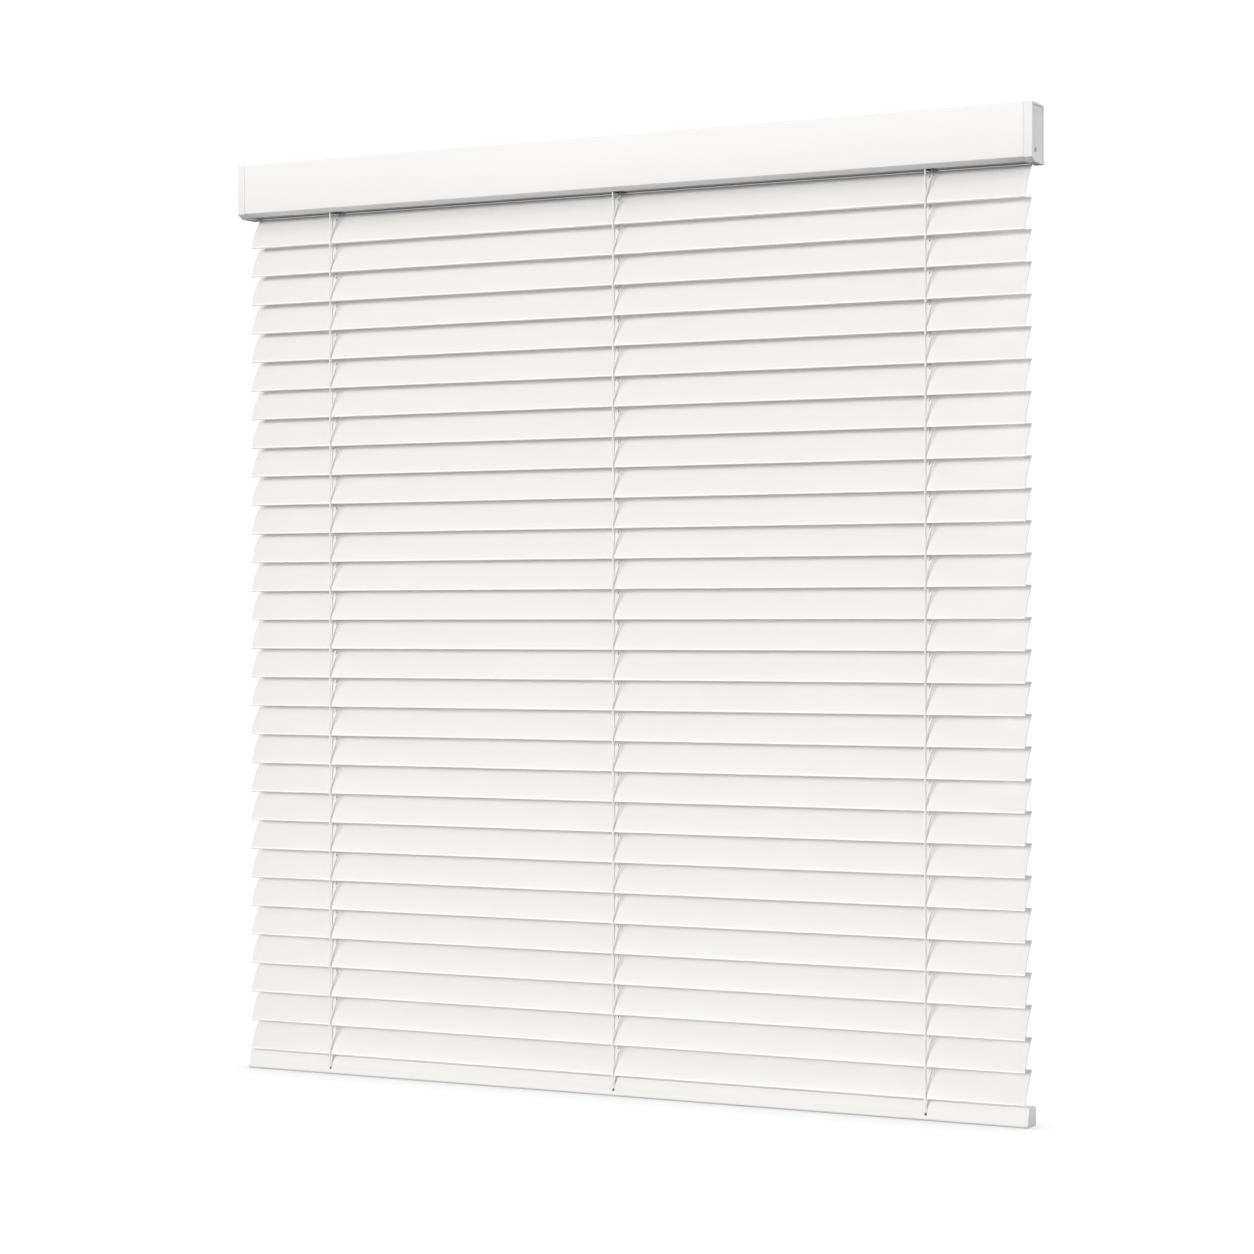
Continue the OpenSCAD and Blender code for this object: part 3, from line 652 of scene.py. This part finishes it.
def makeHangingCords():
    # each runs plumb from the first slat's hold to the last one's and rides with the slats
    runs = {"front": ("front_cords", frontY, frontTop, frontEnd),
            "back": ("back_cords", backY, backTop, backEnd),
            "lift": ("lift_cords", liftY, liftTop, liftEnd)}
    for kind, (body, y, top, end) in runs.items():
        for side, x in ladderX.items():
            path = resampled([Vector((x, y, top)), Vector((x, y, end))], cordSet["ring"])
            cord = makeCord(kind + "Cord_" + side, path, thickProfile, cordSet["lay"])
            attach(cord, body)
            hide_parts(body)


def blendCord(cord):
    bpy.context.view_layer.update()
    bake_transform(cord)


headSet = {"outletZ": -70 * mm, "drumX": 7.5 * mm, "rodY": -1.2 * mm, "rodZ": -50 * mm, "drumR": 13.3 * mm,
           "plumb": 4 * mm, "bend": 3 * mm, "pegR": 4 * mm, "pegTurn": 15, "pegSteps": 7, "coarser": 1.5,
           "runZ": {"left": -18 * mm, "middle": -20.5 * mm, "right": -18 * mm}}
liftDrumLow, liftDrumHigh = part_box("lift_drum")
liftDrumX = (liftDrumLow.x + liftDrumHigh.x) / 2
liftDrumY = (liftDrumLow.y + liftDrumHigh.y) / 2


def addTop(name, path, hold):
    # a plain first stretch rises from the first slat, and the rest runs up into the headrail
    cord = makeCord(name, path, thickProfile, cordSet["lay"], join=Vector(hold))
    blendCord(cord)
    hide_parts("cord_tops")


def makeCordTops():
    # ladder cords rise to the tilt drums, lift cords turn over their pegs to the lift drum
    outlet, pegR = headSet["outletZ"], headSet["pegR"]
    for side, x in ladderX.items():
        for kind, y, top, sign in (("front", frontY, frontTop, -1), ("back", backY, backTop, 1)):
            drumY = headSet["rodY"] + sign * headSet["drumR"]
            route = [(x, y, outlet), (x, y, outlet + headSet["plumb"]),
                     (x + headSet["drumX"], drumY, headSet["rodZ"])]
            path = resampled(rounded(route, headSet["bend"]), cordSet["ring"])
            addTop(kind + "CordTop_" + side, path, (x, y, top))
        runZ = headSet["runZ"][side]
        turn = -1 if side == "right" else 1
        runY = 2 * liftDrumY - liftY if side == "right" else liftY  # each cord has its side of the drum
        arc = [(x + turn * pegR * (1 - math.cos(a)), liftY, runZ - pegR + pegR * math.sin(a))
               for a in (math.radians(headSet["pegTurn"] * k) for k in range(headSet["pegSteps"]))]
        route = [(x, liftY, outlet)] + arc + [(liftDrumX, runY, runZ)]
        path = resampled([Vector(p) for p in route], cordSet["ring"] * headSet["coarser"])
        addTop("liftCordTop_" + side, path, (x, liftY, liftTop))


railSet = {"holeUp": 9.5 * mm, "faceTop": -8 * mm, "faceFoot": -17 * mm, "beside": 0.8 * mm,
           "proud": 0.1 * mm, "inside": 2 * mm, "rise": 1 * mm, "frontStart": 4 * mm, "frontDip": 1.5 * mm,
           "liftStart": 3.4 * mm, "liftLean": 1.2 * mm, "liftEdge": 0.8 * mm, "liftDrop": 2.5 * mm,
           "liftDip": 2 * mm, "backStart": 7 * mm, "backDip": 1 * mm, "backIn": 3 * mm, "backEndY": 8 * mm,
           "bend": 1.2 * mm, "liftBend": 1.6 * mm}


def railFace(z):
    share = (z - railLow.z) / (railHigh.z - railLow.z)
    return railSet["faceFoot"] + (railSet["faceTop"] - railSet["faceFoot"]) * share


def addTail(name, route, bend, hold):
    # a plain first stretch hangs from the last slat, and the rest runs into the bottom rail
    path = resampled(rounded(route, bend), cordSet["ring"])
    cord = makeCord(name, path, thickProfile, cordSet["lay"], join=Vector(hold))
    blendCord(cord)
    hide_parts("cord_tails")


def makeCordTails():
    # front and lift cords go in at the tack hole in the rail's face, back cords at the one behind
    holeZ = railLow.z + railSet["holeUp"]
    proud = cordSet["radius"] + railSet["proud"]
    top, back = railHigh.z, railHigh.y
    for side, x in ladderX.items():
        left, right = x - railSet["beside"], x + railSet["beside"]
        startZ, dipZ = holeZ + railSet["frontStart"], holeZ + railSet["frontDip"]
        innerY, innerZ = railFace(holeZ) + railSet["inside"], holeZ + railSet["rise"]
        addTail("frontCordTail_" + side,
                [(left, railFace(startZ) - proud, startZ), (left, railFace(dipZ) - proud, dipZ),
                 (left, innerY, holeZ), (left, 0, innerZ)],
                railSet["bend"], (x, frontY, frontEnd))
        dropZ, dipZ = top - railSet["liftDrop"], holeZ + railSet["liftDip"]
        addTail("liftCordTail_" + side,
                [(x, liftY, top + railSet["liftStart"]), (x, liftY - railSet["liftLean"], top + proud),
                 (x, railSet["faceTop"] - railSet["liftEdge"], top + proud),
                 (right, railFace(dropZ) - proud, dropZ), (right, railFace(dipZ) - proud, dipZ),
                 (right, innerY, holeZ), (right, 0, innerZ)],
                railSet["liftBend"], (x, liftY, liftEnd))
        addTail("backCordTail_" + side,
                [(x, back + proud, holeZ + railSet["backStart"]),
                 (x, back + proud, holeZ + railSet["backDip"]),
                 (x, back - railSet["backIn"], holeZ), (x, railSet["backEndY"], innerZ)],
                railSet["bend"], (x, backY, backEnd))


makeHangingCords()
makeCordTops()
makeCordTails()
print("cords made")


rungSet = {"trunk": 0.72 * mm, "fork": -8.4 * mm, "spread": 8 * mm, "near": 2.4 * mm, "meet": 9 * mm,
           "lift": 0.72 * mm, "start": -25, "step": 2.5, "count": 21, "underV": -0.35 * mm,
           "underU": 24 * mm, "knotR": 1.0 * mm, "knotThick": 0.4 * mm, "knotSides": (14, 8)}


def faceV(u):
    # height of a string that lies on the crowned face
    return math.sqrt((innerR + slatSet["thick"] + rungSet["lift"]) ** 2 - u * u) + arcZ


def rungRoutes(x):
    # two upper strings part in front of the slot and meet again at the back cord, one runs below
    reach, trunk, fork, slot = cordSet["reach"], rungSet["trunk"], rungSet["fork"], slatSet["slotBack"]
    routes = []
    for sign, gap in ((1, rungSet["near"]), (-1, rungSet["spread"])):
        line = [(x, -reach, holdV)]
        for k in range(rungSet["count"]):
            u = (rungSet["start"] + rungSet["step"] * k) * mm
            apart = min(1, max(0, (u - fork) / (slot - fork)))
            if u >= slot:
                apart = max(0, 1 - (u - slot) / rungSet["meet"])
            line.append((x + sign * (trunk + (gap - trunk) * apart), u, faceV(u)))
        line.append((x, reach, holdV))
        routes.append(line)
    under, turn = rungSet["underV"], rungSet["underU"]
    routes.append([(x, -reach, holdV), (x, -turn, under), (x, turn, under), (x, reach, holdV)])
    return routes


def makeRungs():
    # modelled once in the slat's own section, then copied to every slat
    parts = []
    for x in ladderX.values():
        for k, line in enumerate(rungRoutes(x)):
            parts.append(makeCord("rung_%d" % k, [Vector(p) for p in line], thinProfile, 0))
        for u in (-cordSet["reach"], cordSet["reach"]):
            bpy.ops.mesh.primitive_torus_add(
                major_radius=rungSet["knotR"], minor_radius=rungSet["knotThick"],
                major_segments=rungSet["knotSides"][0], minor_segments=rungSet["knotSides"][1],
                location=(x, u, holdV), rotation=(math.radians(-slatSet["closed"]), 0, 0))
            knot = bpy.context.object
            dress(knot, "braided_cord")
            bpy.ops.object.transform_apply(location=True, rotation=True)
            bpy.ops.object.shade_smooth()
            parts.append(knot)
    clearSelection()
    for part in parts:
        part.select_set(True)
    bpy.context.view_layer.objects.active = parts[0]
    bpy.ops.object.join()
    return parts[0]


def placeRungs(master):
    for name in slatNames:
        rungs = master.copy()
        rungs.data = master.data.copy()
        rungs.name = "rungs_" + name[-2:]
        bpy.context.scene.collection.objects.link(rungs)
        rungs.location = (0, 0, pivotZ[name])
        rungs.rotation_euler = (math.radians(slatSet["closed"]), 0, 0)
        finishPiece(rungs, name, "braided_cord", cordSet["smooth"])
    bpy.data.objects.remove(master)


placeRungs(makeRungs())
bpy.data.objects.remove(thickProfile)
bpy.data.objects.remove(thinProfile)
print("rungs made")


# metal and plastic parts that keep their CAD shape
slotOf = {row["node"]: row["material_slot"] for row in frame["record"]["subparts"]}
for name, node in frame["nodes"].items():
    if not node.hide_render:
        node.data.materials.clear()
        node.data.materials.append(finishes[slotOf[name]])
print("CAD parts dressed")
